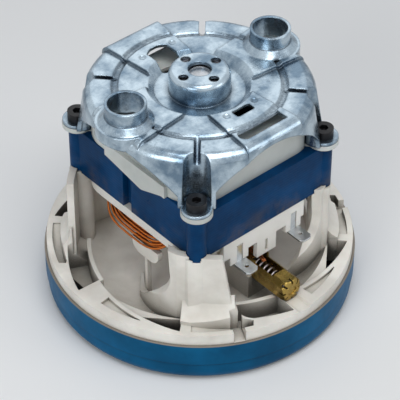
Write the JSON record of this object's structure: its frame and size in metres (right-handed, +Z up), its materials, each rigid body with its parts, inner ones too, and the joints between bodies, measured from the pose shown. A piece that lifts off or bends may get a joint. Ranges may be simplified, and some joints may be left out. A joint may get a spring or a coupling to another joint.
{
  "type": "vacuum motor unit",
  "caption": "Brush motor over a single-stage centrifugal fan, with a pressed bearing bracket, a spiral diffuser housing and spade terminals.",
  "frame": {"origin": "centre of the fan cover's flat underside, on the shaft's axis", "axes": "+Z up along the shaft from the fan to the bearing bracket, -Y towards the side with the spade terminals, +X completes the right-hand frame"},
  "size_m": [0.132, 0.132, 0.1117],
  "materials": {
    "cover_paint": "satin blue-grey paint",
    "housing_plastic": "moulded off-white glass-filled plastic",
    "impeller_sheet": "bare pressed sheet",
    "turned_steel": "turned and ground steel",
    "commutator_moulding": "phenolic moulding",
    "commutator_copper": "bare copper",
    "armature_iron": "laminated electrical steel",
    "winding_copper": "enamelled copper wire",
    "bearing_steel": "ground bearing steel",
    "stator_iron": "laminated iron with dark blue lacquer",
    "insulator_plastic": "moulded white plastic",
    "guide_plastic": "moulded off-white plastic",
    "tinned_tab": "tinned brass",
    "holder_brass": "pressed brass",
    "carbon": "pressed carbon",
    "spring_steel": "spring wire",
    "zinc_sheet": "pressed zinc-plated sheet",
    "black_steel": "black-oxide steel"
  },
  "bodies": {
    "frame": {"fan_cover": "cover_paint", "housing": "housing_plastic", "lower_bearing_outer": "bearing_steel", "upper_bearing_outer": "bearing_steel", "bearing_spring_washer": "spring_steel", "stator_stack": "stator_iron", "field_coil_left": "winding_copper", "field_coil_right": "winding_copper", "lower_insulator": "insulator_plastic", "upper_air_guide": "guide_plastic", "terminal_carrier": "insulator_plastic", "spade_terminal_left": "tinned_tab", "spade_terminal_right": "tinned_tab", "brush_holder_front": "holder_brass", "brush_holder_back": "holder_brass", "brush_spring_front": "spring_steel", "brush_spring_back": "spring_steel", "bearing_bracket": "zinc_sheet", "bracket_screws": "black_steel"},
    "rotor": {"shaft": "turned_steel", "commutator_hub": "commutator_moulding", "commutator_bars": "commutator_copper", "armature_core": "armature_iron", "armature_winding": "winding_copper", "impeller_back_disc": "impeller_sheet", "impeller_front_disc": "impeller_sheet", "impeller_vanes": "impeller_sheet", "impeller_spacer": "turned_steel", "impeller_washer": "turned_steel", "impeller_nut": "turned_steel", "lower_bearing_inner": "bearing_steel", "upper_bearing_inner": "bearing_steel"},
    "lower_ball_ring": {"lower_bearing_balls": "bearing_steel"},
    "upper_ball_ring": {"upper_bearing_balls": "bearing_steel"},
    "front_brush": {"carbon_brush_front": "carbon"},
    "back_brush": {"carbon_brush_back": "carbon"}
  },
  "joints": [
    {"name": "rotor_spin", "type": "hinge", "parent": "frame", "child": "rotor", "pos_m": [0, 0, 0], "axis": [0, 0, 1], "continuous": true},
    {"name": "lower_ball_orbit", "type": "hinge", "parent": "frame", "child": "lower_ball_ring", "pos_m": [0, 0, 0], "axis": [0, 0, 1], "continuous": true},
    {"name": "upper_ball_orbit", "type": "hinge", "parent": "frame", "child": "upper_ball_ring", "pos_m": [0, 0, 0], "axis": [0, 0, 1], "continuous": true},
    {"name": "front_brush_slide", "type": "slide", "parent": "frame", "child": "front_brush", "axis": [0, -1, 0], "range_m": [0, 0.008], "stiffness_N_per_m": 120, "springref_m": -0.03, "deforming": ["brush_spring_front"]},
    {"name": "back_brush_slide", "type": "slide", "parent": "frame", "child": "back_brush", "axis": [0, 1, 0], "range_m": [0, 0.008], "stiffness_N_per_m": 120, "springref_m": -0.03, "deforming": ["brush_spring_back"]}
  ],
  "couplings": [
    {"joint": "lower_ball_orbit", "follows": "rotor_spin", "ratio": 0.368},
    {"joint": "upper_ball_orbit", "follows": "rotor_spin", "ratio": 0.368}
  ]
}
